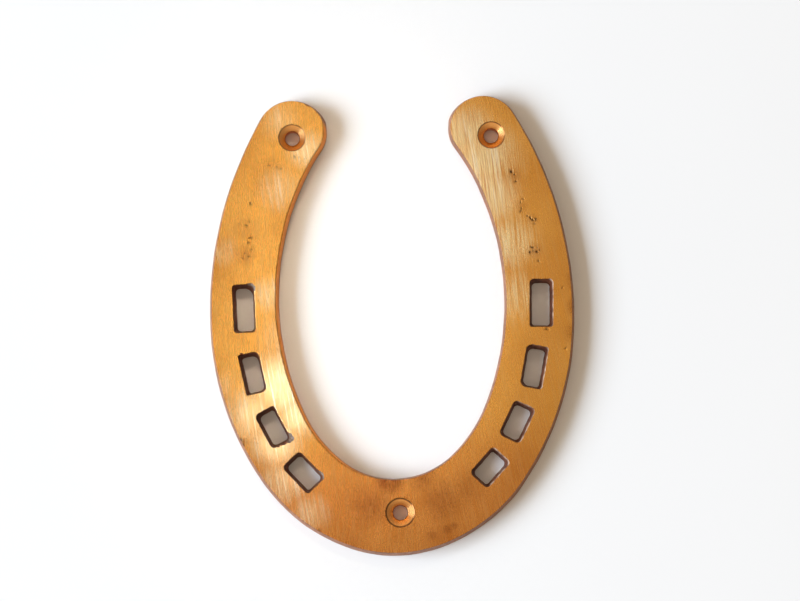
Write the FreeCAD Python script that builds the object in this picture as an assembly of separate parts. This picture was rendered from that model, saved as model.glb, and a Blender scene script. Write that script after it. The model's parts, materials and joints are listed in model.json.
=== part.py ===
"""A decorative cast brass horseshoe, to screw to a door or a wall.

It is one casting, and lies on its back with its ground face up. The heels point along +Y and the
toe along -Y. The origin is the middle of the back's bounding box. Millimetres and degrees.
"""

import FreeCAD, Part
import math
import os

THICKNESS = 5.0
DRAFT = 0.9  # how far each wall leans over the thickness, so that the casting leaves its mould

# The right half of the face's outline, from the toe's outer edge on the axis round the heel to the
# toe's inner edge: arcs in tangent contact, as (radius, sweep). A negative radius turns right.
OUTER_EDGE = [(41.4, 20.4), (51.8, 34.3), (88.1, 33.0), (118.0, 33.0)]
HEEL_TIP = [(10.4, 115.1), (9.1, 69.2)]
INNER_EDGE = [(-69.3, 10.1), (-85.7, 47.9), (-42.1, 26.6)]

# The nail slots, from heel to toe: centre x and y, length and width at the face, and how far the
# slot leans off the Y axis, its toe end towards the middle.
RIGHT_SLOTS = [
    (45.5, 5.2, 14.7, 7.1, 1.6),
    (42.8, -14.2, 13.1, 6.7, 11.5),
    (37.1, -30.8, 11.6, 7.0, 26.9),
    (28.5, -44.4, 10.6, 7.2, 42.7),
]
LEFT_SLOTS = [
    (-44.9, 5.7, 14.8, 6.8, 1.6),
    (-42.7, -14.1, 12.6, 6.5, 11.5),
    (-36.8, -30.6, 11.6, 6.6, 26.9),
    (-27.8, -44.5, 11.3, 7.3, 42.7),
]
SLOT_CORNER = 1.3  # corner radius of a slot at the face

# Countersunk holes for No. 8 wood screws, drilled by hand a little off the axis.
SCREW_HOLES = {"heel_left": (-29.3, 57.9), "heel_right": (31.7, 57.2), "toe": (1.1, -57.3)}
HOLE_DIAMETER = 4.4
RIM_DIAMETER = 8.2
RIM_DEPTH = (RIM_DIAMETER - HOLE_DIAMETER) / 2  # a 90 degree countersink

PAST = 1.0  # how far a cutter runs past the face and the back


def lean(z):
    """How far a drafted wall stands out from its line at the face, at height z."""
    return DRAFT * (1 - z / THICKNESS)


def on_circle(centre, radius, angle, z):
    """The point at an angle on a level circle."""
    turn = math.radians(angle)
    return FreeCAD.Vector(centre[0] + radius * math.cos(turn), centre[1] + radius * math.sin(turn), z)


def chain(arcs):
    """Lays arcs end to end in tangents from (0, 0), heading +X, and ends them on the axis.

    Each becomes (centre, radius, first angle, last angle), with the radius negative where the
    chain turns right. One more arc, which turns right to head -X, brings the chain to the axis.
    """
    laid = []
    x, y, heading = 0.0, 0.0, 0.0
    for radius, sweep in arcs:
        x, y, heading = lay_arc(laid, x, y, heading, radius, sweep)
    closing_sweep = heading - 180
    lay_arc(laid, x, y, heading, -x / math.sin(math.radians(closing_sweep)), closing_sweep)
    return laid


def lay_arc(laid, x, y, heading, radius, sweep):
    """Adds one arc to the chain, and gives back where it ends and its heading there."""
    side = math.radians(heading + 90)
    centre = (x + radius * math.cos(side), y + radius * math.sin(side))
    first = heading - 90 if radius > 0 else heading + 90
    last = first + math.copysign(sweep, radius)
    laid.append((centre, radius, first, last))
    end = on_circle(centre, abs(radius), last, 0)
    return end.x, end.y, heading + math.copysign(sweep, radius)


def mirrored(arc):
    """The same arc on the left half, walked the other way."""
    centre, radius, first, last = arc
    return (-centre[0], centre[1]), radius, 180 - last, 180 - first


def centred(arcs):
    """The chain moved along Y so that the toe and the heel tips are equally far from the origin."""
    heel_centre, heel_radius = arcs[len(OUTER_EDGE)][:2]
    half_length = (heel_centre[1] + heel_radius) / 2
    return [((c[0], c[1] - half_length), r, first, last) for c, r, first, last in arcs]


def outline(z):
    """The closed outline of the casting at height z."""
    right = centred(chain(OUTER_EDGE + HEEL_TIP + INNER_EDGE))
    left = [mirrored(arc) for arc in reversed(right)]
    edges = []
    for centre, radius, first, last in right + left:
        size = abs(radius + lean(z))
        ends = [on_circle(centre, size, angle, z) for angle in (first, (first + last) / 2, last)]
        edges.append(Part.Arc(*ends).toShape())
    return Part.Wire(edges)


def slot_outline(x, y, length, width, tilt, z):
    """The closed outline of one nail slot at height z. A slot narrows towards the back."""
    corner = SLOT_CORNER - lean(z)
    across = width / 2 - SLOT_CORNER
    along = length / 2 - SLOT_CORNER
    corners = [(across, along), (-across, along), (-across, -along), (across, -along)]
    edges = []
    before = None
    for number, centre in enumerate(corners):
        angles = [90 * number, 90 * number + 45, 90 * number + 90]
        start, middle, end = [on_circle(centre, corner, angle, z) for angle in angles]
        if before:
            edges.append(Part.LineSegment(before, start).toShape())
        edges.append(Part.Arc(start, middle, end).toShape())
        before = end
    edges.append(Part.LineSegment(before, on_circle(corners[0], corner, 0, z)).toShape())
    wire = Part.Wire(edges)
    wire.rotate(FreeCAD.Vector(0, 0, 0), FreeCAD.Vector(0, 0, 1), -tilt if x > 0 else tilt)
    wire.translate(FreeCAD.Vector(x, y, 0))
    return wire


def slot_cutter(slot):
    """A solid that cuts one drafted slot through the casting."""
    return Part.makeLoft([slot_outline(*slot, z) for z in (-PAST, THICKNESS + PAST)], True, True)


def screw_hole_cutter(x, y):
    """A solid that cuts one countersunk hole through the casting."""
    shank = Part.makeCylinder(HOLE_DIAMETER / 2, THICKNESS + 2 * PAST, FreeCAD.Vector(x, y, -PAST))
    seat = FreeCAD.Vector(x, y, THICKNESS - RIM_DEPTH)
    countersink = Part.makeCone(HOLE_DIAMETER / 2, RIM_DIAMETER / 2 + PAST, RIM_DEPTH + PAST, seat)
    return shank.fuse(countersink)


def horseshoe_casting():
    """The drafted body with its eight nail slots and three screw holes."""
    body = Part.makeLoft([outline(0), outline(THICKNESS)], True, True)
    cutters = [slot_cutter(slot) for slot in RIGHT_SLOTS + LEFT_SLOTS]
    cutters += [screw_hole_cutter(x, y) for x, y in SCREW_HOLES.values()]
    return body.cut(cutters)


os.makedirs("parts", exist_ok=True)
casting = horseshoe_casting()
casting.exportStep("parts/horseshoe_casting.step")
box = casting.BoundBox
print("solids", len(casting.Solids), "valid", casting.isValid(), "volume", round(casting.Volume, 1))
print("x", box.XMin, box.XMax, "y", box.YMin, box.YMax, "z", box.ZMin, box.ZMax)
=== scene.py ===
"""The looks of a cast brass horseshoe that lies on a pale table, seen from above.

The casting's mesh is built on the CAD node's own outlines: a ground face, drafted as-cast walls,
nail slots with worn and chipped edges, and countersunk holes. Lengths in the mesh code are in
millimetres, and become metres when the mesh is made.
"""

import json
import math
import random

import bpy
import numpy as np
from mathutils import Matrix, Vector
from mathutils.geometry import delaunay_2d_cdt


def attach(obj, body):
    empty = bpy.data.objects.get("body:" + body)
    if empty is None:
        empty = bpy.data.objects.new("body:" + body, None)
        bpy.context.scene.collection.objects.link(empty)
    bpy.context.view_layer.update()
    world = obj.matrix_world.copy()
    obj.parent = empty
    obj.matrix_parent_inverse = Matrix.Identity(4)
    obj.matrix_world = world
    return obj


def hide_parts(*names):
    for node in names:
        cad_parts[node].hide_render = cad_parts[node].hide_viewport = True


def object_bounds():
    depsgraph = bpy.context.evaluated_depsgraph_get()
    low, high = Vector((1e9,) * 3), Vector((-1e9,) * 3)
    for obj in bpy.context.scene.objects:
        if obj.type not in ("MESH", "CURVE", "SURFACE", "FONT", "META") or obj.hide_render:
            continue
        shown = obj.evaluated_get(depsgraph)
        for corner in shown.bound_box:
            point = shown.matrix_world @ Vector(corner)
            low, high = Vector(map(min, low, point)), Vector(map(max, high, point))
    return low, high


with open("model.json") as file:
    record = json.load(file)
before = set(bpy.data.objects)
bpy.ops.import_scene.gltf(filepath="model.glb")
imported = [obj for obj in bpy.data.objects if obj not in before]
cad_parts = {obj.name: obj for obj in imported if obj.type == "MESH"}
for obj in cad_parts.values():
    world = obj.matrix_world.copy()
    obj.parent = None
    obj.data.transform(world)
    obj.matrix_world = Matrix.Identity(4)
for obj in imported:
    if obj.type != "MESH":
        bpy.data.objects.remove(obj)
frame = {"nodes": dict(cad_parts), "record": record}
cad_low, cad_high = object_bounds()

MM = 0.001
NODE = "horseshoe_casting"
THICKNESS = (cad_high.z - cad_low.z) / MM
SCREW_HOLES = [m for m in frame["record"]["mounts"] if m["kind"] == "bore"]

# How finely the casting is meshed, in millimetres.
FACE_STEP = 0.45
BACK_STEP = 1.6
WALL_STEP = 0.42

# How many rows or points the smaller shapes are meshed with.
ROUNDING_ROWS = 6
WALL_ROWS = 9
SLOT_CORNER_POINTS = 9
SLOT_SIDE_POINTS = 22
HOLE_POINTS = 96

# Rings of extra points round a pit: each one's share of the pit's radius, and its points.
PIT_RINGS = [(0.35, 6), (0.7, 10), (1.0, 14), (1.35, 14)]

BACK_ROUNDING = 0.25  # the radius of the edges at the back
WORKED_EDGE = 0.09  # how far a face edge is rounded where nothing has worn it further
TOE_LIP = 0.42  # how wide the broken edge of the toe's hole is
HEEL_LIP = 0.12  # and of the holes in the heels
CROWN_REACH = 9.0  # how far in from the outline the face is crowned
CROWN_SLOPE = 0.014  # how steeply the crowned face falls at the outline
MIDDLE_Y = 12  # the middle of the gap that the branches enclose
LEFT_STEEPNESS = 0.45  # how much of the draft the inner wall of the left branch lacks
RIGHT_STEEPNESS = 0.38  # and of the right branch

FACE_SKIN, EDGE_SKIN, SLOT_SKIN, CUT_SKIN = range(4)

# How bright the room is level with the table and straight above, and the share of this that is
# left far to the right.
SIDE_LIGHT = 0.92
TOP_LIGHT = 0.405
RIGHT_SHARE = 0.4

# Blowholes in the casting that grinding laid open: x, y, radius and depth. The deepest lie in
# loose groups down the right branch.
PITS = [
    (37.6, 45.6, 0.45, 0.39), (38.5, 44.9, 0.33, 0.29), (38.9, 42.7, 0.33, 0.26), (37.0, 46.4, 0.25, 0.16),
    (40.2, 36.2, 0.25, 0.18), (40.4, 34.4, 0.38, 0.31), (40.0, 33.6, 0.22, 0.16), (41.0, 37.1, 0.2, 0.13),
    (43.0, 31.3, 0.4, 0.34), (43.7, 30.7, 0.53, 0.39), (44.7, 30.9, 0.33, 0.23), (42.3, 31.9, 0.25, 0.16),
    (44.2, 29.6, 0.25, 0.18), (42.6, 20.7, 0.45, 0.26), (43.6, 21.2, 0.38, 0.34), (44.6, 20.9, 0.43, 0.34),
    (45.6, 21.3, 0.3, 0.23), (43.1, 22.0, 0.25, 0.16), (44.9, 22.1, 0.22, 0.16), (45.2, 17.9, 0.28, 0.18),
    (-42.4, 38.1, 0.28, 0.18), (-43.6, 31.2, 0.35, 0.2), (-46.2, 31.8, 0.24, 0.14), (-42.8, 31.9, 0.2, 0.11),
    (-42.9, 27.3, 0.3, 0.14), (-43.5, 25.6, 0.24, 0.12), (-44.4, 22.6, 0.24, 0.14), (-42.2, 23.8, 0.2, 0.11),
    (-45.2, 21.2, 0.26, 0.13), (-43.2, 21.6, 0.2, 0.11), (-34.3, 49.0, 0.26, 0.14), (-36.3, 49.5, 0.2, 0.11),
    (-33.2, 48.2, 0.2, 0.11), (-28.8, 52.2, 0.2, 0.1), (-46.5, -34.2, 0.4, 0.26),
    (-45.7, -35.5, 0.33, 0.26), (-23.6, -62.4, 0.33, 0.18),
    (52.6, -8.6, 0.25, 0.16), (51.8, 9.4, 0.22, 0.13), (46.7, -2.9, 0.28, 0.18),
]

# The corner radii of the eight slots, left branch first and from the heel to the toe. Each runs
# anticlockwise from the slot's top right corner.
SLOT_CORNERS = [
    (1.7, 1.1, 1.3, 1.5), (2.0, 0.5, 0.4, 1.9), (0.9, 1.6, 1.3, 1.0), (1.4, 1.5, 0.9, 1.3),
    (1.3, 1.4, 0.8, 0.9), (1.0, 1.7, 1.9, 1.0), (1.3, 1.2, 1.5, 1.4), (1.3, 0.9, 1.5, 1.1),
]

# A corner that the sand left partly filled: the slot's number, the corner's, and its radius at the back.
FILLED_CORNER = (0, 0, 2.5)

# Where a face edge is worn off or broken away: the rim's number, x, y, how far round about it
# reaches, how wide the worn edge is and how broken. The outline is rim 0 and the slots follow,
# so these are the left heel and the four slots of the left branch.
WORN_EDGES = [
    (0, -24.2, 68.2, 1.0, 0.4, 0.7),
    (0, -31.0, 70.0, 0.8, 0.3, 0.7),
    (1, -42.2, 12.4, 2.2, 0.45, 1.0),
    (2, -45.8, -8.6, 0.8, 0.5, 0.4),
    (3, -31.4, -34.1, 2.0, 0.9, 1.0),
    (3, -33.4, -36.0, 1.6, 0.6, 0.5),
    (3, -35.2, -36.6, 0.7, 0.5, 0.4),
    (4, -22.6, -45.4, 1.8, 0.4, 0.9),
]

# Where the face is painted pale, partly where the brown patina is worn off to pale metal and partly as a
# painted highlight: x, y, radius and strength.
WORN_AND_HIGHLIGHT = [
    (-33, -18, 15, 1.0), (-29, -27, 10, 0.9), (-36, -35, 11, 0.9), (-43, -27, 12, 0.7),
    (-33, -4, 10, 0.3), (-25, 54, 8, 0.7), (-33, 63, 8, 0.3), (-33, 42, 9, 0.35), (-51, 23, 6, 0.3),
    (-34, -47, 10, 0.6), (-26, -57, 8, 0.4), (-37, 10, 7, 0.4), (-52, -18, 5, 0.2),
    (29, 50, 12, 0.95), (34, 23, 10, 0.35), (24, 58, 10, 0.95), (30, 39, 12, 1.0), (36, 8, 9, 0.2),
]

# Where the brush has scored the face hardest, with cream streaks that are partly painted glints: x, y,
# radius and strength.
BRUSHED_AND_GLINTS = [
    (31, 50, 14, 1.0), (25, 58, 12, 0.8), (36, 24, 13, 0.9), (30, 38, 13, 1.0), (37, 8, 12, 0.7),
    (-28, -26, 9, 0.1), (-38, 8, 8, 0.2), (-52, -18, 9, 0.2),
]

# Where the patina is darkest: x, y, radius and strength.
STAINED = [
    (10.5, -64.2, 2.2, 0.3), (15.2, -62.6, 2.2, 0.45), (17.2, -61.6, 1.6, 0.5), (14, -54, 9, 0.4),
    (57, 12, 5, 0.6), (57, 4, 5, 0.7), (56, -4, 5, 0.4), (-44.3, 22.4, 5, 0.3), (-44, 30, 5, 0.2),
    (22, -50, 8, 0.25), (-8, -55, 9, 0.4), (8, -47, 6, 0.5), (-2, -47, 6.5, 1.0), (38.2, 44.6, 3.2, 0.25),
    (43.6, 30.8, 2.8, 0.25), (44, 21.2, 3.2, 0.3), (40.3, 35, 2.6, 0.2), (-35, 49, 4, 0.1),
    (-45.6, -34.8, 1.6, 0.3),
]


# ---------------------------------------------------------------- outlines read from the CAD node


def level_loops(height):
    """The closed loops that bound the CAD node's level face at a height, as arrays of (x, y).

    The longest comes first, which is the casting's outline.
    """
    mesh = frame["nodes"][NODE].data
    mesh.calc_loop_triangles()
    corners = np.array([v.co for v in mesh.vertices]) / MM
    keys = [tuple(np.round(c, 3)) for c in corners]
    step_to = {}
    edges = set()
    for triangle in mesh.loop_triangles:
        if all(abs(corners[i][2] - height) < 0.001 for i in triangle.vertices):
            ring = [keys[i] for i in triangle.vertices]
            edges.update(zip(ring, ring[1:] + ring[:1]))
    for start, end in edges:
        if (end, start) not in edges:
            step_to[start] = end
    loops = []
    while step_to:
        here = min(step_to)
        loop = []
        while here in step_to:
            loop.append(here[:2])
            here = step_to.pop(here)
        loops.append(np.array(loop))
    return sorted(loops, key=lambda loop: -np.ptp(loop[:, 1]))


def smooth_loop(points, count):
    """A loop of evenly spaced points on the periodic cubic spline through the given ones."""
    closed = np.vstack([points, points[:1]])
    knots = np.concatenate([[0], np.cumsum(np.hypot(*np.diff(closed, axis=0).T))])
    gap = np.diff(knots)
    n = len(points)
    before = np.roll(gap, 1)
    system = np.zeros((n, n))
    rows = np.arange(n)
    system[rows, rows] = 2 * (before + gap)
    system[rows, (rows + 1) % n] = gap
    system[rows, (rows - 1) % n] = before
    slope = (closed[1:] - closed[:-1]) / gap[:, None]
    bend = np.linalg.solve(system, 6 * (slope - np.roll(slope, 1, axis=0)))
    bend = np.vstack([bend, bend[:1]])

    def at(places):
        i = np.clip(np.searchsorted(knots, places, side="right") - 1, 0, n - 1)
        after, since = knots[i + 1] - places, places - knots[i]
        h = gap[i]
        curve = bend[i] * (after**3 / (6 * h))[:, None] + bend[i + 1] * (since**3 / (6 * h))[:, None]
        curve += (closed[i] / h[:, None] - bend[i] * (h / 6)[:, None]) * after[:, None]
        return curve + (closed[i + 1] / h[:, None] - bend[i + 1] * (h / 6)[:, None]) * since[:, None]

    return at(np.linspace(0, knots[-1], count, endpoint=False))


def outward(loop):
    """Unit normals of a closed loop, to the right of the way it runs."""
    along = np.roll(loop, -1, axis=0) - np.roll(loop, 1, axis=0)
    along /= np.linalg.norm(along, axis=1)[:, None]
    return np.column_stack([along[:, 1], -along[:, 0]])


def signed_area(loop):
    """A loop's area, positive where it runs anticlockwise."""
    x, y = loop.T
    return 0.5 * np.sum(x * np.roll(y, -1) - y * np.roll(x, -1))


def anticlockwise(loop):
    """The same loop, run anticlockwise."""
    return loop if signed_area(loop) > 0 else loop[::-1]


# ---------------------------------------------------------------- unevenness


def waves(x, y, length, seed):
    """Smooth noise between about -1 and 1 over the plane, with bumps about this long."""
    count = 7
    draw = random.Random(seed)
    total = np.zeros(np.broadcast(x, y).shape)
    for _ in range(count):
        turn = draw.uniform(0, 2 * math.pi)
        rate = 2 * math.pi / (length * draw.uniform(0.7, 1.6))
        phase = draw.uniform(0, 2 * math.pi)
        total = total + np.sin(rate * (x * math.cos(turn) + y * math.sin(turn)) + phase)
    return total / math.sqrt(count)


def dimple(x, y, cx, cy, radius):
    """1 at a centre, falling smoothly to 0 at the radius."""
    reach = np.clip(1 - ((x - cx) ** 2 + (y - cy) ** 2) / radius**2, 0, 1)
    return reach * reach


def pit_shape(x, y, cx, cy, radius):
    """How deep in a pit each place is, between 0 and 1. The pits' edges are ragged."""
    shift_x = 0.14 * waves(x, y, 1.1, 401)
    shift_y = 0.14 * waves(x, y, 1.1, 402)
    return dimple(x + shift_x, y + shift_y, cx, cy, radius)


def spread(x, y, marks):
    """How strongly each place is covered by a list of soft round marks."""
    cover = np.zeros(len(x))
    for cx, cy, radius, strength in marks:
        cover = np.maximum(cover, strength * dimple(x, y, cx, cy, radius))
    return cover


def face_height(x, y, depth):
    """The height of the ground face, at places this deep inside the outline.

    Hand grinding leaves it a little uneven and crowned towards the edges, and pits are sunk in it.
    """
    crown = CROWN_SLOPE * CROWN_REACH / 2 * np.clip(1 - depth / CROWN_REACH, 0, 1) ** 2
    height = THICKNESS + 0.03 * waves(x, y, 34, 11) + 0.01 * waves(x, y, 13, 12) - crown
    for cx, cy, radius, sunk in PITS:
        height = height - sunk * pit_shape(x, y, cx, cy, radius)
    return height


def depth_inside(x, y, outline):
    """How far each place lies from the outline."""
    depth = np.full(len(x), np.inf)
    for px, py in outline:
        depth = np.minimum(depth, (x - px) ** 2 + (y - py) ** 2)
    return np.sqrt(depth)


# ---------------------------------------------------------------- the casting's rims


def rounded_rectangle(length, width, radii):
    """A rectangle along Y with its four corner radii, run anticlockwise from the top right one."""
    points = []
    signs = [(1, 1), (-1, 1), (-1, -1), (1, -1)]
    for number, (sx, sy) in enumerate(signs):
        radius = radii[number]
        centre = np.array([sx * (width / 2 - radius), sy * (length / 2 - radius)])
        for angle in np.radians(90 * number + np.linspace(0, 90, SLOT_CORNER_POINTS)):
            points.append(centre + radius * np.array([math.cos(angle), math.sin(angle)]))
        nx, ny = signs[(number + 1) % 4]
        next_radius = radii[(number + 1) % 4]
        next_angle = math.radians(90 * (number + 1))
        next_centre = np.array([nx * (width / 2 - next_radius), ny * (length / 2 - next_radius)])
        end = next_centre + next_radius * np.array([math.cos(next_angle), math.sin(next_angle)])
        start = points[-1]
        for share in np.linspace(0, 1, SLOT_SIDE_POINTS + 2)[1:-1]:
            points.append(start + share * (end - start))
    return np.array(points)


class Rim:
    """One closed edge of the casting: its loop at the face, its loop at the back and its wear.

    metal points from the loop into the metal. rows are the rings of points from the face to the
    back. For each point of a ring, edge is how far the face edge is rounded off, chip how far it is
    broken away, bare how pale the first bare_and_painted_light_rows rows below the face are painted, partly
    as skin rubbed off and partly as painted light, and ground says where the first ground_rows rows are
    bright metal.
    """

    def __init__(self, face, back, metal, name):
        self.face, self.back, self.metal, self.name = face, back, metal, name
        self.edge = np.full(len(face), WORKED_EDGE)
        self.chip = np.zeros(len(face))
        self.bare_and_painted_light = np.zeros(len(face))
        self.bare_and_painted_light_rows = ROUNDING_ROWS + 1
        self.ground = np.ones(len(face), bool)
        self.ground_rows = ROUNDING_ROWS
        self.rows = []

    def near(self, x, y, reach):
        """How close each point of the rim is to a place: 1 there, 0 beyond the reach."""
        return np.sqrt(dimple(self.face[:, 0], self.face[:, 1], x, y, reach))

    def wear(self, x, y, reach, width, broken):
        """Rounds the face edge off further around a place, and breaks it away there."""
        close = self.near(x, y, reach)
        ragged = 1 + 0.3 * waves(*self.face.T, 1.3, 61)
        self.edge = np.maximum(self.edge, WORKED_EDGE + (width - WORKED_EDGE) * close * ragged)
        self.chip = np.maximum(self.chip, broken * np.clip(close * 1.6, 0, 1))


def outline_rim(face_loop, back_loop):
    """The casting's own edge, a little wavy from hand grinding, and rubbed bright along the inside, where
    its orange is partly painted reflected light.
    """
    length = np.sum(np.hypot(*np.diff(face_loop, axis=0, append=face_loop[:1]).T))
    face = smooth_loop(anticlockwise(face_loop), int(length / WALL_STEP))
    normal = outward(face)
    draft = (np.ptp(back_loop[:, 0]) - np.ptp(face_loop[:, 0])) / 2
    x, y = face.T
    wander = 0.025 * waves(x, y, 24, 21) + 0.015 * waves(x, y, 6, 22) + 0.01 * waves(x, y, 2.2, 23)
    face = face - normal * (0.02 + wander)[:, None]
    # inner is 1 along the inside of the shoe, and 0 on its outside.
    towards_middle = np.einsum("ij,ij->i", normal, np.column_stack([-x, MIDDLE_Y - y]))
    inner = np.clip(towards_middle / 12, 0, 1) * np.clip((44 - np.abs(x)) / 6, 0, 1)
    steep = inner * np.where(x < 0, LEFT_STEEPNESS, RIGHT_STEEPNESS)
    back = face + normal * (draft * (1 - steep) + 0.03 * waves(x, y, 9, 24))[:, None]
    rim = Rim(face, back, -normal, "outline")
    # Inside the left branch, where the wall faces away from the window, the edge is rubbed rounder and the
    # wall painted orange: partly rubbed metal, partly painted reflected light.
    rubbed_and_painted_light = inner * np.clip(2 * normal[:, 0] - 0.4, 0.08, 1)
    rim.edge = rim.edge + rubbed_and_painted_light * (0.5 + 0.04 * waves(x, y, 7, 25))
    rim.bare_and_painted_light = np.where(rubbed_and_painted_light > 0.1, rubbed_and_painted_light, 0)
    rim.ground = rim.bare_and_painted_light > 0.3
    rim.ground_rows = 3
    rim.bare_and_painted_light_rows = ROUNDING_ROWS + WALL_ROWS - 1
    return rim


def slot_rim(face_loop, back_loop, number):
    """One nail slot, with corners and sides as uneven as a casting's, and on the right branch rounder edges
    and a patchy pale painted light on the walls that face the window.
    """
    centre = face_loop.mean(0)
    offsets = face_loop - centre
    _, _, axes = np.linalg.svd(offsets)
    axis = axes[0] * (1 if axes[0][1] > 0 else -1)
    turn = np.column_stack([np.array([axis[1], -axis[0]]), axis])
    turned = [loop @ turn for loop in (face_loop, back_loop)]
    sizes = [np.ptp(loop, axis=0) for loop in turned]
    middles = [(loop.max(0) + loop.min(0)) / 2 for loop in turned]
    face_radii = list(SLOT_CORNERS[number])
    back_radii = [max(0.9 * radius, 0.8) for radius in face_radii]
    if number == FILLED_CORNER[0]:
        back_radii[FILLED_CORNER[1]] = FILLED_CORNER[2]
    loops = []
    for (width, length), place, radii in zip(sizes, middles, (face_radii, back_radii)):
        shape = rounded_rectangle(length, width, radii)
        loops.append((shape + place) @ turn.T)
    face, back = loops
    normal = outward(face)
    x, y = face.T
    wander = 0.03 * waves(x, y, 3.5, 30 + number) + 0.015 * waves(x, y, 1.2, 50 + number)
    face = face + normal * wander[:, None]
    back = back + normal * (0.03 * waves(x, y, 3.0, 70 + number))[:, None]
    rim = Rim(face, back, normal, "slot")
    if centre[0] > 0:
        # On the right branch the walls that face the window are painted pale in patches: painted light.
        rubbed_and_painted_light = np.clip(0.7 + 0.5 * waves(x, y, 2.4, 110 + number), 0.25, 1)
        rim.bare_and_painted_light = np.clip(normal[:, 0] * 1.8, 0, 1) * rubbed_and_painted_light
        rim.edge = rim.edge + rim.bare_and_painted_light * (0.16 + 0.05 * waves(x, y, 3, 90 + number))
        rim.ground = rim.bare_and_painted_light < 0.2
    return rim


def rim_row(rim, z, inset):
    """Where a rim's wall lies at height z, set back into the metal by inset."""
    share = (THICKNESS - z) / THICKNESS
    share = np.broadcast_to(share, len(rim.face))[:, None]
    place = rim.face + (rim.back - rim.face) * share + rim.metal * inset[:, None]
    return np.column_stack([place, np.broadcast_to(z, len(rim.face))])


def raise_rim(rim, outline, seed):
    """Fills a rim's rows of points, from the ground face over the rounded edge down to the back."""
    count = len(rim.face)
    start = rim.face + rim.metal * rim.edge[:, None]
    lift = face_height(*start.T, depth_inside(*start.T, outline)) - THICKNESS
    x, y = rim.face.T
    # The rounded face edge.
    for angle in np.linspace(0, 90, ROUNDING_ROWS + 1):
        run = 1 - math.sin(math.radians(angle))
        rounded = 1 - math.cos(math.radians(angle))
        broken = 0.7 * (1 - run) ** 0.9 * (1 + 0.3 * waves(x, y, 0.9, seed + 5))
        drop = (1 - rim.chip) * rounded + rim.chip * broken
        z = THICKNESS + lift - rim.edge * drop
        rim.rows.append(rim_row(rim, z, rim.edge * run))
    # The wall.
    top = rim.rows[-1][:, 2]
    for share in np.linspace(0, 1, WALL_ROWS + 2)[1:]:
        z = top + (BACK_ROUNDING - top) * share
        grain = 0.02 * waves(x + 9 * z, y - 7 * z, 1.1, seed) + 0.03 * waves(x, y + 3 * z, 3.4, seed + 1)
        rim.rows.append(rim_row(rim, z, -grain * math.sin(math.pi * share) ** 0.5))
    # The rounded back edge.
    for angle in (30, 60, 90):
        turn = math.radians(angle)
        z = np.full(count, BACK_ROUNDING * (1 - math.sin(turn)))
        rim.rows.append(rim_row(rim, z, np.full(count, BACK_ROUNDING * (1 - math.cos(turn)))))


def hole_rim(mount, face_loop, outline):
    """One countersunk hole as rings: a broken edge, the cone, the straight bore and the back edge."""
    centre = np.array(mount["pos_m"][:2]) / MM
    bore = mount["dims"]["r_mm"]
    mouth = np.mean(np.linalg.norm(face_loop - centre, axis=1))
    seat = THICKNESS - (mouth - bore)
    lip = TOE_LIP if mount["name"] == "toe" else HEEL_LIP
    angles = np.linspace(0, 2 * math.pi, HOLE_POINTS, endpoint=False)
    around = np.column_stack([np.cos(angles), np.sin(angles)])
    rim = Rim(centre + around * mouth, centre + around * bore, around, mount["name"])
    start = centre + around * (mouth + lip)
    lift = face_height(*start.T, depth_inside(*start.T, outline)) - THICKNESS
    # The profile goes down through the broken edge, the cone, the bore and the back edge.
    profile = [(mouth + lip * s, THICKNESS - 0.5 * lip * (1 - s) ** 2) for s in (1, 0.66, 0.33, 0)]
    drop = 0.5 * lip
    cone = np.linspace(0, 1, 9)[1:]
    profile += [(mouth + (bore - mouth) * s, THICKNESS - drop + (seat + drop - THICKNESS) * s) for s in cone]
    profile += [(bore, seat * (1 - s)) for s in np.linspace(0.06, 1, 8)[:-1]]
    profile += [(bore + 0.05, 0.06), (bore + 0.15, 0.0)]
    for number, (radius, z) in enumerate(profile):
        ring = centre + around * radius
        fade = np.interp(number, (3, 3 + len(cone)), (1, 0))
        rim.rows.append(np.column_stack([ring, z + lift * fade]))
    return rim


# ---------------------------------------------------------------- the casting's level faces


def inside(points, loops):
    """Which points lie inside an odd number of the loops."""
    odd = np.zeros(len(points), bool)
    x, y = points.T
    for loop in loops:
        ahead = np.roll(loop, -1, axis=0)
        for (x0, y0), (x1, y1) in zip(loop, ahead):
            if y0 == y1:
                continue
            crosses = (y0 > y) != (y1 > y)
            odd ^= crosses & (x < x0 + (y - y0) * (x1 - x0) / (y1 - y0))
    return odd


def scattered(low, high, step, seed):
    """Points on a slightly shaken triangular grid over a box."""
    draw = np.random.default_rng(seed)
    columns = np.arange(low[0], high[0], step)
    rows = np.arange(low[1], high[1], step * math.sqrt(3) / 2)
    x, y = np.meshgrid(columns, rows)
    x = x + (np.arange(len(rows)) % 2)[:, None] * step / 2
    points = np.column_stack([x.ravel(), y.ravel()])
    return points + draw.uniform(-0.12, 0.12, points.shape) * step


def clear_of(points, marks, gap):
    """The points that keep at least the gap from every mark."""
    cells = {}
    for mark in marks:
        cells.setdefault((int(mark[0] // gap), int(mark[1] // gap)), []).append(mark)
    kept = []
    for point in points:
        column, row = int(point[0] // gap), int(point[1] // gap)
        near = (
            mark
            for i in (column - 1, column, column + 1)
            for j in (row - 1, row, row + 1)
            for mark in cells.get((i, j), ())
        )
        if all((point[0] - m[0]) ** 2 + (point[1] - m[1]) ** 2 >= gap * gap for m in near):
            kept.append(point)
    return np.array(kept)


def pit_points():
    """Extra points around each pit, so that the mesh holds its shape."""
    points = []
    for cx, cy, radius, _ in PITS:
        points.append((cx, cy))
        for share, count in PIT_RINGS:
            for k in range(count):
                turn = 2 * math.pi * (k + share) / count
                points.append((cx + share * radius * math.cos(turn), cy + share * radius * math.sin(turn)))
    return np.array(points)


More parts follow.
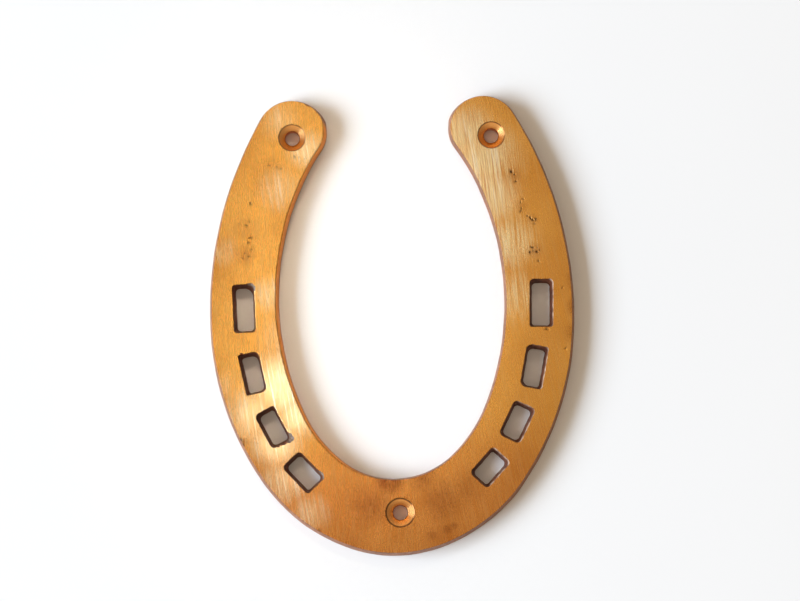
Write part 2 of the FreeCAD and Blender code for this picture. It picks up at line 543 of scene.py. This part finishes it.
def level_face(loops, step, seed, extra=None):
    """Triangulates the region between closed loops. The loops' points come first, in their order."""
    borders = np.vstack(loops)
    grid = scattered(borders.min(0), borders.max(0), step, seed)
    if extra is not None:
        grid = np.vstack([clear_of(grid, extra, 0.8 * step), extra])
    grid = clear_of(grid[inside(grid, loops)], borders, 0.55 * step)
    points = np.vstack([borders, grid])
    edges = []
    first = 0
    for loop in loops:
        indices = list(range(first, first + len(loop)))
        edges += list(zip(indices, indices[1:] + indices[:1]))
        first += len(loop)
    flat = [Vector(p) for p in points]
    placed, _, triangles, origins, _, _ = delaunay_2d_cdt(flat, edges, [], 0, 1e-7)
    if len(placed) != len(points):
        raise ValueError("two outlines of the casting touch each other")
    order = np.array([origin[0] for origin in origins])
    triangles = order[np.array(triangles)]
    kept = triangles[inside(points[triangles].mean(1), loops)]
    return points, kept


# ---------------------------------------------------------------- putting the casting together


def join_rings(first_upper, first_lower, count, flip):
    """Quads between two rings of points."""
    quads = []
    for k in range(count):
        a, b = first_upper + k, first_upper + (k + 1) % count
        c, d = first_lower + (k + 1) % count, first_lower + k
        quads.append((a, b, c, d) if flip else (d, c, b, a))
    return quads


def casting_rims():
    """Every closed edge of the casting, with its wear: the outline, the slots and then the holes.

    A loop that shares its centre with a screw hole of the record is that hole's rim.
    """
    faces, backs = level_loops(THICKNESS), level_loops(0.0)
    holes = {}
    slots = []
    for loop in faces[1:]:
        centre = (loop.max(0) + loop.min(0)) / 2
        mount = min(SCREW_HOLES, key=lambda m: math.dist(centre, np.array(m["pos_m"][:2]) / MM))
        if math.dist(centre, np.array(mount["pos_m"][:2]) / MM) < 1.0:
            holes[mount["name"]] = (mount, loop)
        else:
            slots.append((centre, loop))
    rims = [outline_rim(faces[0], backs[0])]
    slots.sort(key=lambda pair: (pair[0][0] > 0, -pair[0][1]))
    for number, (centre, loop) in enumerate(slots):
        back = min(backs[1:], key=lambda b: math.dist(centre, (b.max(0) + b.min(0)) / 2))
        rims.append(slot_rim(loop, back, number))
    for number, *mark in WORN_EDGES:
        rims[number].wear(*mark)
    for number, rim in enumerate(rims):
        raise_rim(rim, rims[0].face, 200 + 10 * number)
    rims += [hole_rim(*holes[name], rims[0].face) for name in sorted(holes)]
    return rims


def casting_mesh():
    """The whole casting as one closed mesh: its points, faces and skins, how broken each point is, how
    bare it is painted, partly as wear and partly as painted light, and which rim each of the first
    points belongs to.
    """
    rims = casting_rims()
    top_points, top_triangles = level_face([r.rows[0][:, :2] for r in rims], FACE_STEP, 1, pit_points())
    low_points, low_triangles = level_face([r.rows[-1][:, :2] for r in rims], BACK_STEP, 2)
    border = sum(len(r.face) for r in rims)
    # The ground face.
    grid = top_points[border:]
    vertices = [np.vstack([r.rows[0] for r in rims])]
    vertices.append(np.column_stack([grid, face_height(*grid.T, depth_inside(*grid.T, rims[0].face))]))
    faces = [tuple(t) for t in top_triangles]
    skins = [FACE_SKIN] * len(faces)
    broken = [np.concatenate([r.chip for r in rims]), np.zeros(len(grid))]
    bare_and_painted_light = [np.zeros(len(top_points))]
    # The edges and walls, rim by rim and ring by ring.
    ring_start = 0
    count_so_far = len(top_points)
    last_rings = []
    for rim in rims:
        size = len(rim.face)
        upper = ring_start
        ring_start += size
        drilled = rim.name not in ("outline", "slot")
        flip = rim.name != "outline"
        for number, row in enumerate(rim.rows[1:], start=1):
            vertices.append(row)
            broken.append(rim.chip * np.clip(2 - number / ROUNDING_ROWS, 0, 1))
            bare_and_painted_light.append(rim.bare_and_painted_light * (number <= rim.bare_and_painted_light_rows))
            quads = join_rings(upper, count_so_far, size, flip)
            faces += quads
            if drilled:
                skins += [CUT_SKIN] * size
            else:
                cast = EDGE_SKIN if rim.name == "outline" else SLOT_SKIN
                edge = (number < 2) | (rim.ground & (number < rim.ground_rows))
                skins += np.where(edge & (rim.chip < 0.35), FACE_SKIN, cast).tolist()
            upper = count_so_far
            count_so_far += size
        last_rings.append((upper, size))
    # The back.
    low_grid = low_points[border:]
    rough = 0.03 + 0.03 * waves(low_grid[:, 0], low_grid[:, 1], 4, 301)
    vertices.append(np.column_stack([low_grid, np.clip(rough, 0, None)]))
    broken.append(np.zeros(len(low_grid)))
    bare_and_painted_light.append(np.zeros(len(low_grid)))
    low_index = np.concatenate([np.arange(start, start + size) for start, size in last_rings])
    low_index = np.concatenate([low_index, np.arange(count_so_far, count_so_far + len(low_grid))])
    faces += [tuple(low_index[t[::-1]]) for t in low_triangles]
    skins += [EDGE_SKIN] * len(low_triangles)
    owners = np.repeat(np.arange(len(rims)), [len(r.face) for r in rims])
    return np.vstack(vertices), faces, skins, np.concatenate(broken), np.concatenate(bare_and_painted_light), owners


def keep_rims_crisp(mesh, owners):
    """Marks the edges where the ground face meets a rounding, so that the face shades level up to them.

    owners holds which rim each of the first points belongs to.
    """
    ends = np.zeros(2 * len(mesh.edges), dtype=int)
    mesh.edges.foreach_get("vertices", ends)
    ends = ends.reshape(-1, 2)
    along = np.all(ends < len(owners), axis=1)
    ring = owners[np.where(ends < len(owners), ends, 0)]
    crisp = along & (ring[:, 0] == ring[:, 1])
    mesh.attributes.new("sharp_edge", "BOOLEAN", "EDGE").data.foreach_set("value", crisp)


def make_casting():
    """The casting's object, in place of the CAD node."""
    vertices, faces, skins, broken, bare_and_painted_light, owners = casting_mesh()
    mesh = bpy.data.meshes.new("horseshoe")
    mesh.from_pydata((vertices * MM).tolist(), [], faces)
    mesh.polygons.foreach_set("material_index", skins)
    mesh.polygons.foreach_set("use_smooth", [True] * len(faces))
    x, y, z = vertices.T
    pitted = np.zeros(len(vertices))
    for cx, cy, radius, _ in PITS:
        pitted = np.maximum(pitted, pit_shape(x, y, cx, cy, radius * 1.2))
    pitted = np.where(z > THICKNESS - 1, np.clip(1.5 * pitted, 0, 1), 0)
    marks = {"broken": broken, "bare_and_painted_light": bare_and_painted_light, "pitted": pitted}
    # The worn marks are partly wear and partly a painted highlight; the brushed marks are partly scoring and
    # partly painted glints.
    marks.update(worn=spread(x, y, WORN_AND_HIGHLIGHT), brushed=spread(x, y, BRUSHED_AND_GLINTS), stained=spread(x, y, STAINED))
    for name, values in marks.items():
        mesh.attributes.new(name, "FLOAT", "POINT").data.foreach_set("value", values.astype(np.float32))
    mesh.update()
    keep_rims_crisp(mesh, owners)
    piece = bpy.data.objects.new("horseshoe", mesh)
    bpy.context.scene.collection.objects.link(piece)
    return piece


# ---------------------------------------------------------------- materials


class Nodes:
    """A small helper to build a node material."""

    def __init__(self, name):
        self.material = bpy.data.materials.new(name)
        self.material.use_nodes = True
        self.tree = self.material.node_tree
        self.shader = self.tree.nodes["Principled BSDF"]

    def add(self, kind, **settings):
        """A new node with these settings."""
        node = self.tree.nodes.new(kind)
        for key, value in settings.items():
            setattr(node, key, value)
        return node

    def link(self, output, target):
        """Joins an output to a socket."""
        self.tree.links.new(output, target)

    def feed(self, target, value):
        """Sets a socket to a number or colour, or links an output to it."""
        if isinstance(value, bpy.types.NodeSocket):
            self.link(value, target)
        else:
            target.default_value = value

    def place(self):
        """Object coordinates, in metres."""
        return self.add("ShaderNodeTexCoord").outputs["Object"]

    def stretched(self, vector, scale):
        """Coordinates multiplied by a scale along each axis."""
        node = self.add("ShaderNodeMapping")
        node.inputs["Scale"].default_value = scale
        self.link(vector, node.inputs["Vector"])
        return node.outputs["Vector"]

    def noise(self, vector, scale, detail, roughness=0.55):
        """Soft noise between 0 and 1."""
        node = self.add("ShaderNodeTexNoise")
        self.link(vector, node.inputs["Vector"])
        node.inputs["Scale"].default_value = scale
        node.inputs["Detail"].default_value = detail
        node.inputs["Roughness"].default_value = roughness
        return node.outputs["Fac"]

    def span(self, value, low, high, to_low=0.0, to_high=1.0):
        """A smooth step from one value to another as the input goes from low to high."""
        node = self.add("ShaderNodeMapRange", interpolation_type="SMOOTHSTEP")
        self.feed(node.inputs["Value"], value)
        node.inputs["From Min"].default_value = low
        node.inputs["From Max"].default_value = high
        node.inputs["To Min"].default_value = to_low
        node.inputs["To Max"].default_value = to_high
        return node.outputs["Result"]

    def maths(self, operation, a, b):
        """Two values added, multiplied or the like."""
        node = self.add("ShaderNodeMath", operation=operation)
        self.feed(node.inputs[0], a)
        self.feed(node.inputs[1], b)
        return node.outputs["Value"]

    def mix(self, share, a, b):
        """A colour between a and b, with this share of b."""
        node = self.add("ShaderNodeMix", data_type="RGBA")
        self.feed(node.inputs["Factor"], share)
        self.feed(node.inputs[6], a)
        self.feed(node.inputs[7], b)
        return node.outputs[2]

    def turned(self, vector, degrees):
        """Coordinates turned about the upright axis."""
        node = self.add("ShaderNodeVectorRotate", rotation_type="Z_AXIS")
        self.link(vector, node.inputs["Vector"])
        node.inputs["Angle"].default_value = math.radians(degrees)
        return node.outputs["Vector"]

    def attribute(self, name):
        """One of the values that the mesh holds at each point."""
        return self.add("ShaderNodeAttribute", attribute_name=name).outputs["Fac"]

    def bump(self, height, distance, strength, normal=None):
        """A normal roughened by a height, on top of another one if it is given."""
        node = self.add("ShaderNodeBump")
        node.inputs["Strength"].default_value = strength
        node.inputs["Distance"].default_value = distance
        self.link(height, node.inputs["Height"])
        if normal is not None:
            self.link(normal, node.inputs["Normal"])
        return node.outputs["Normal"]

    def axes(self, vector):
        """The X, Y and Z of a vector."""
        node = self.add("ShaderNodeSeparateXYZ")
        self.link(vector, node.inputs["Vector"])
        return node.outputs


def srgb(red, green, blue):
    """A linear RGBA colour from its everyday 0 to 255 values."""
    linear = [((v / 255 + 0.055) / 1.055) ** 2.4 if v > 10 else v / 255 / 12.92 for v in (red, green, blue)]
    return (*linear, 1.0)


def patinated_gold(n, place, mottle, grain):
    """Gold that turns to copper towards the toe, under a faint brown mottle and fine specks."""
    patches = n.noise(place, 48, 2.5, 0.5)
    toe = n.span(n.axes(place)["Y"], -0.022, -0.056)
    gold = n.mix(n.span(patches, 0.35, 0.65), srgb(220, 155, 70), srgb(232, 169, 80))
    copper = n.mix(n.span(patches, 0.4, 0.6), srgb(210, 134, 62), srgb(220, 146, 70))
    colour = n.mix(toe, gold, copper)
    colour = n.mix(n.span(mottle, 0.4, 0.75, 0.0, 0.04), colour, srgb(176, 110, 52))
    specks = n.maths("MULTIPLY", n.span(grain, 0.58, 0.7, 0.0, 0.08), n.span(patches, 0.46, 0.56))
    return n.mix(specks, colour, srgb(124, 74, 40))


def brushed_over(n, place, colour, brushing):
    """The same colour, pale and scratched where it is worn, partly as a painted highlight, and scored where
    it is brushed, with cream streaks that are partly painted glints.
    """
    worn = n.attribute("worn")
    scoring = n.noise(n.stretched(n.turned(place, -4), (3200, 60, 1)), 1.0, 3.0, 0.7)
    scratches = n.span(n.noise(n.stretched(n.turned(place, -9), (1600, 34, 1)), 1.0, 3.0), 0.52, 0.66)
    colour = n.mix(n.span(brushing, 0.35, 0.7, 0.0, 0.09), colour, srgb(255, 232, 180))
    # Pale where worn: partly worn patina, partly a painted highlight.
    paled_and_highlight = n.maths("MULTIPLY", worn, n.span(brushing, 0.4, 0.6, 0.5, 1.0))
    colour = n.mix(paled_and_highlight, colour, srgb(252, 230, 186))
    # Scored streaks, brown and cream; the cream ones are partly painted glints.
    scored_and_glints = n.mix(n.span(scoring, 0.36, 0.48), srgb(216, 154, 80), colour)
    scored_and_glints = n.mix(n.span(scoring, 0.44, 0.58), scored_and_glints, srgb(255, 238, 190))
    colour = n.mix(n.attribute("brushed"), colour, scored_and_glints)
    # Pale scratches in the worn patches, also part of the painted highlight.
    return n.mix(n.maths("MULTIPLY", worn, scratches), colour, srgb(255, 246, 224))


def stained_over(n, colour, mottle, grain):
    """The same colour, with brown stains, dark dots in them, and dark pits."""
    stained = n.attribute("stained")
    stains = n.maths("MULTIPLY", stained, n.span(mottle, 0.32, 0.56, 0.45, 1.0))
    dots = n.span(n.maths("MULTIPLY", stained, n.span(grain, 0.56, 0.66)), 0.0, 0.25, 0.0, 0.6)
    colour = n.mix(stains, colour, srgb(142, 70, 34))
    colour = n.mix(dots, colour, srgb(100, 52, 28))
    return n.mix(n.attribute("pitted"), colour, srgb(74, 40, 26))


def ground_brass():
    """The brushed face, whose brush marks run along the shoe and lean on the right branch."""
    n = Nodes("ground_brass")
    place = n.place()
    mottle = n.noise(n.stretched(place, (1.3, 0.8, 1)), 700, 5.0, 0.7)
    grain = n.noise(place, 2400, 3.0, 0.6)
    upright = n.noise(n.stretched(place, (1700, 120, 1)), 1.0, 4.0, 0.7)
    leaning = n.noise(n.stretched(n.turned(place, -12), (1500, 70, 1)), 1.0, 4.0, 0.7)
    brushing = n.mix(n.span(n.axes(place)["X"], 0.0, 0.02), upright, leaning)
    colour = patinated_gold(n, place, mottle, grain)
    colour = brushed_over(n, place, colour, brushing)
    colour = stained_over(n, colour, mottle, grain)
    n.link(colour, n.shader.inputs["Base Color"])
    n.shader.inputs["Metallic"].default_value = 1.0
    rough = n.maths("ADD", n.span(brushing, 0.3, 0.7, 0.23, 0.29), n.span(mottle, 0.35, 0.7, 0.0, 0.02))
    rough = n.maths("SUBTRACT", rough, n.span(n.attribute("worn"), 0.2, 1.0, 0.0, 0.05))
    n.link(rough, n.shader.inputs["Roughness"])
    n.shader.inputs["Anisotropic"].default_value = 0.35
    tangent = n.add("ShaderNodeCombineXYZ")
    tangent.inputs["Y"].default_value = 1.0
    n.link(tangent.outputs["Vector"], n.shader.inputs["Tangent"])
    fine = n.bump(grain, 0.00002, 0.08)
    n.link(n.bump(brushing, 0.00002, 0.12, fine), n.shader.inputs["Normal"])
    return n.material


def edge_brass():
    """The walls and the back, as they left the sand: thin brown oxide, and orange metal where rubbed, which
    inside the left branch is partly painted reflected light.
    """
    n = Nodes("edge_brass")
    place = n.place()
    grain = n.noise(place, 900, 5.0, 0.65)
    patches = n.noise(place, 160, 3.0)
    colour = n.mix(n.span(patches, 0.35, 0.65), srgb(130, 80, 48), srgb(152, 96, 60))
    colour = n.mix(n.span(grain, 0.5, 0.75, 0.0, 0.6), colour, srgb(84, 50, 36))
    # Orange inside the left branch: partly rubbed metal, partly painted reflected light.
    colour = n.mix(n.attribute("bare_and_painted_light"), colour, srgb(240, 158, 76))
    n.link(colour, n.shader.inputs["Base Color"])
    n.link(n.span(n.attribute("bare_and_painted_light"), 0.0, 1.0, 0.3, 0.85), n.shader.inputs["Metallic"])
    n.link(n.span(grain, 0.3, 0.7, 0.42, 0.6), n.shader.inputs["Roughness"])
    n.link(n.bump(grain, 0.00012, 0.4), n.shader.inputs["Normal"])
    return n.material


def slot_skin():
    """The slots' walls: dark burnt oxide, grey metal where an edge has broken away, and pale painted light
    on the walls that face the window.
    """
    n = Nodes("slot_skin")
    place = n.place()
    grain = n.noise(place, 900, 5.0, 0.65)
    patches = n.noise(place, 260, 3.0)
    colour = n.mix(n.span(patches, 0.35, 0.65), srgb(84, 38, 20), srgb(116, 60, 32))
    colour = n.mix(n.span(grain, 0.5, 0.75, 0.0, 0.7), colour, srgb(46, 26, 20))
    colour = n.mix(n.span(n.attribute("broken"), 0.4, 0.8), colour, srgb(110, 92, 80))
    # Pale on the slot walls that face the window: painted light.
    colour = n.mix(n.attribute("bare_and_painted_light"), colour, srgb(178, 148, 126))
    n.link(colour, n.shader.inputs["Base Color"])
    n.shader.inputs["Metallic"].default_value = 0.4
    n.link(n.span(grain, 0.3, 0.7, 0.45, 0.65), n.shader.inputs["Roughness"])
    n.link(n.bump(grain, 0.00012, 0.5), n.shader.inputs["Normal"])
    return n.material


def cut_brass():
    """The drilled holes: bright, with fine rings left by the tool and a dark ring of painted shade round the
    mouth.
    """
    n = Nodes("cut_brass")
    place = n.place()
    height = n.axes(place)["Z"]
    rings = n.noise(n.stretched(place, (1, 1, 9000)), 1.0, 3.0, 0.6)
    colour = n.mix(n.span(rings, 0.35, 0.65), srgb(234, 170, 100), srgb(246, 196, 130))
    colour = n.mix(n.span(height, 0.0032, 0.0029), colour, srgb(206, 118, 48))
    # A dark ring round the mouth: painted shade.
    colour = n.mix(n.span(height, 0.00465, 0.00485, 0.0, 0.9), colour, srgb(120, 70, 38))
    n.link(colour, n.shader.inputs["Base Color"])
    n.shader.inputs["Metallic"].default_value = 1.0
    n.link(n.span(rings, 0.3, 0.7, 0.19, 0.27), n.shader.inputs["Roughness"])
    n.link(n.bump(rings, 0.00001, 0.5), n.shader.inputs["Normal"])
    return n.material


def table_top():
    """The pale table, a matt white with the faintest mottle."""
    n = Nodes("table_top")
    mottle = n.noise(n.place(), 6, 2.0)
    n.link(n.mix(mottle, srgb(236, 236, 236), srgb(240, 240, 240)), n.shader.inputs["Base Color"])
    n.shader.inputs["Roughness"].default_value = 0.75
    n.shader.inputs["Specular IOR Level"].default_value = 0.2
    return n.material


# ---------------------------------------------------------------- camera, light and table


def make_camera():
    """The camera, nearly overhead and a little towards the toe."""
    data = bpy.data.cameras.new("camera")
    data.sensor_width = 36.0
    data.lens = 111.0
    camera = bpy.data.objects.new("camera", data)
    bpy.context.scene.collection.objects.link(camera)
    aim = Vector((2.59, 6.95, THICKNESS)) * MM
    distance = 0.75
    azimuth = math.radians(4.6)
    elevation = math.radians(84.02)
    roll = math.radians(-6.02)
    level = math.cos(elevation)
    back = Vector((math.sin(azimuth) * level, -math.cos(azimuth) * level, math.sin(elevation)))
    turn = (-back).to_track_quat("-Z", "Y").to_matrix() @ Matrix.Rotation(roll, 3, "Z")
    camera.matrix_world = Matrix.Translation(aim + back * distance) @ turn.to_4x4()
    data.clip_start = 0.05
    data.clip_end = 20
    bpy.context.scene.camera = camera


def softbox(name, place, aim, width, height, power, colour, opening=180.0):
    """A soft rectangular lamp, whose light leaves it within an opening of so many degrees."""
    data = bpy.data.lights.new(name, "AREA")
    data.shape = "RECTANGLE"
    data.size, data.size_y = width, height
    data.energy = power
    data.color = colour
    data.spread = math.radians(opening)
    lamp = bpy.data.objects.new(name, data)
    bpy.context.scene.collection.objects.link(lamp)
    lamp.location = place
    lamp.rotation_mode = "QUATERNION"
    lamp.rotation_quaternion = (Vector(aim) - Vector(place)).to_track_quat("-Z", "Y")
    return lamp


def make_room():
    """Warm light from all around the room, dimmer from straight above and from the right."""
    world = bpy.data.worlds.new("room")
    world.use_nodes = True
    tree = world.node_tree
    background = tree.nodes["Background"]
    direction = tree.nodes.new("ShaderNodeTexCoord")
    parts = tree.nodes.new("ShaderNodeSeparateXYZ")
    strength = tree.nodes.new("ShaderNodeMapRange")
    tree.links.new(direction.outputs["Generated"], parts.inputs["Vector"])
    tree.links.new(parts.outputs["Z"], strength.inputs["Value"])
    strength.inputs["To Min"].default_value = SIDE_LIGHT
    strength.inputs["To Max"].default_value = TOP_LIGHT
    dimmed = tree.nodes.new("ShaderNodeMapRange")
    dimmed.inputs["To Min"].default_value = 1.0
    dimmed.inputs["To Max"].default_value = RIGHT_SHARE
    tree.links.new(parts.outputs["X"], dimmed.inputs["Value"])
    product = tree.nodes.new("ShaderNodeMath")
    product.operation = "MULTIPLY"
    tree.links.new(strength.outputs["Result"], product.inputs[0])
    tree.links.new(dimmed.outputs["Result"], product.inputs[1])
    tree.links.new(product.outputs["Value"], background.inputs["Strength"])
    background.inputs["Color"].default_value = (1.0, 0.79, 0.57, 1.0)
    bpy.context.scene.world = world


def make_light():
    """A big cool window on the left, three skylights overhead, a small lamp beyond the heels, and warm
    soft light from all around. The lamp brightens the table inside the left branch and leaves no
    glint on the brass.
    """
    make_room()
    shoe = (0, 0, 0)
    softbox("window", (-3.5, -0.43, 1.95), shoe, 3.2, 1.85, 315.0, (0.71, 0.85, 1.0))
    softbox("skylight", (-0.10, 0.07, 1.2), shoe, 0.12, 0.10, 0.21, (1.0, 0.97, 0.92))
    softbox("far skylight", (-0.09, 0.31, 1.2), shoe, 0.14, 0.08, 0.135, (1.0, 0.95, 0.86))
    softbox("right skylight", (0.13, 0.15, 1.2), shoe, 0.2, 0.3, 0.09, (1.0, 0.88, 0.7))
    inside_left = (-0.023, 0.014, 0)
    warm = (1.0, 0.8, 0.58)
    lamp = softbox("lamp", (-0.035, 0.36, 0.42), inside_left, 0.09, 0.09, 0.0105, warm, 11.0)
    lamp.visible_glossy = False
    bpy.context.scene.view_settings.view_transform = "Standard"


def make_table():
    """A wide level table top under the shoe."""
    reach = 3.0
    mesh = bpy.data.meshes.new("table_top")
    corners = [(-reach, -reach, 0), (reach, -reach, 0), (reach, reach, 0), (-reach, reach, 0)]
    mesh.from_pydata(corners, [], [(0, 1, 2, 3)])
    table = bpy.data.objects.new("table_top", mesh)
    bpy.context.scene.collection.objects.link(table)
    mesh.materials.append(table_top())


make_camera()
make_light()
make_table()
horseshoe = make_casting()
for material in (ground_brass(), edge_brass(), slot_skin(), cut_brass()):
    horseshoe.data.materials.append(material)
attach(horseshoe, "root")
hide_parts(NODE)
